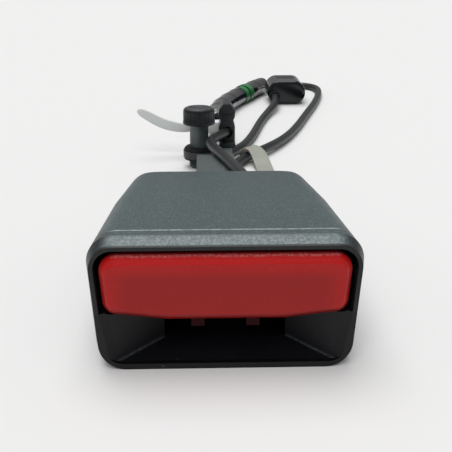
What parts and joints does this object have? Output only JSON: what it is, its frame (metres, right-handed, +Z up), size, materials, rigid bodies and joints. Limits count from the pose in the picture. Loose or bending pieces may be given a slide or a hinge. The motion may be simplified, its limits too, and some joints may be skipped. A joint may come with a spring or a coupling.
{
  "type": "seat belt buckle",
  "caption": "End-release seat belt buckle with a wide push button, steel anchor stalk, captive bolt and a looped switch lead with its connector.",
  "frame": {"origin": "on the surface it lies on, under the middle of the housing and stalk", "axes": "+Y from the button face towards the anchor eye, +X to the right seen from the button, +Z up, away from the flat underside"},
  "size_m": [0.1004, 0.3413, 0.0296],
  "materials": {
    "cover_plastic": "moulded grey-black plastic with a fine spark grain",
    "lower_plastic": "moulded black plastic, satin",
    "button_red": "moulded red plastic, satin with a soft sheen",
    "black_plastic": "moulded black nylon",
    "gloss_black": "glossy black moulding",
    "ejector_plastic": "dark acetal",
    "zinc_steel": "zinc plated sheet steel",
    "hard_steel": "hardened steel, dark phosphate",
    "spring_steel": "bright spring wire",
    "magnet_metal": "nickel plated magnet",
    "circuit_board": "green circuit board",
    "black_rubber": "black moulded rubber",
    "stalk_paint": "dark grey electrocoat on steel",
    "bolt_steel": "black zinc flake coated steel",
    "nylon_pale": "natural nylon, slightly clear",
    "nylon_cream": "cream nylon",
    "lead_sleeve": "black vinyl sleeve",
    "green_tape": "green vinyl tape",
    "green_plastic": "green moulded plastic",
    "terminal_brass": "tinned brass"
  },
  "bodies": {
    "housing": {"upper_cover": "cover_plastic", "lower_cover": "lower_plastic", "frame": "zinc_steel", "latch_pivot_pin": "zinc_steel", "latch_spring": "spring_steel", "button_springs": "spring_steel", "ejector_spring": "spring_steel", "switch_carrier": "black_plastic", "switch_board": "circuit_board", "hall_sensor": "black_plastic", "lead_grommet": "black_rubber", "stalk": "stalk_paint", "stalk_rivets": "stalk_paint", "bolt_grommet": "black_rubber", "lead_clip": "black_plastic", "clip_tie": "nylon_pale", "switch_lead": "lead_sleeve", "lead_conduit": "lead_sleeve", "marker_band": "green_tape", "lead_tie": "nylon_cream", "connector_seal": "black_rubber", "connector_housing": "gloss_black", "connector_terminals": "terminal_brass", "terminal_lock": "green_plastic"},
    "button": {"release_button": "button_red", "lock_pin": "hard_steel"},
    "latch": {"latch": "hard_steel"},
    "ejector": {"ejector": "ejector_plastic", "magnet": "magnet_metal"},
    "bolt": {"anchor_bolt": "bolt_steel", "bolt_cap": "gloss_black"}
  },
  "joints": [
    {"name": "button_press", "type": "slide", "parent": "housing", "child": "button", "axis": [0, 1, 0], "range_m": [0, 0.005], "stiffness_N_per_m": 900, "springref_m": -0.004, "deforming": ["button_springs"]},
    {"name": "latch_pivot", "type": "hinge", "parent": "housing", "child": "latch", "pos_m": [0, -0.03175, 0.013], "axis": [-1, 0, 0], "range_deg": [0, 8.02], "deforming": ["latch_spring"]},
    {"name": "ejector_slide", "type": "slide", "parent": "housing", "child": "ejector", "axis": [0, 1, 0], "range_m": [0, 0.014], "stiffness_N_per_m": 500, "springref_m": -0.006, "deforming": ["ejector_spring"]},
    {"name": "bolt_spin", "type": "hinge", "parent": "housing", "child": "bolt", "pos_m": [-0.0062, 0.07225, 0.012], "axis": [0, 0, 1], "continuous": true}
  ],
  "couplings": [
    {"joint": "latch_pivot", "follows": "button_press", "rad_per_m": 27.925}
  ]
}
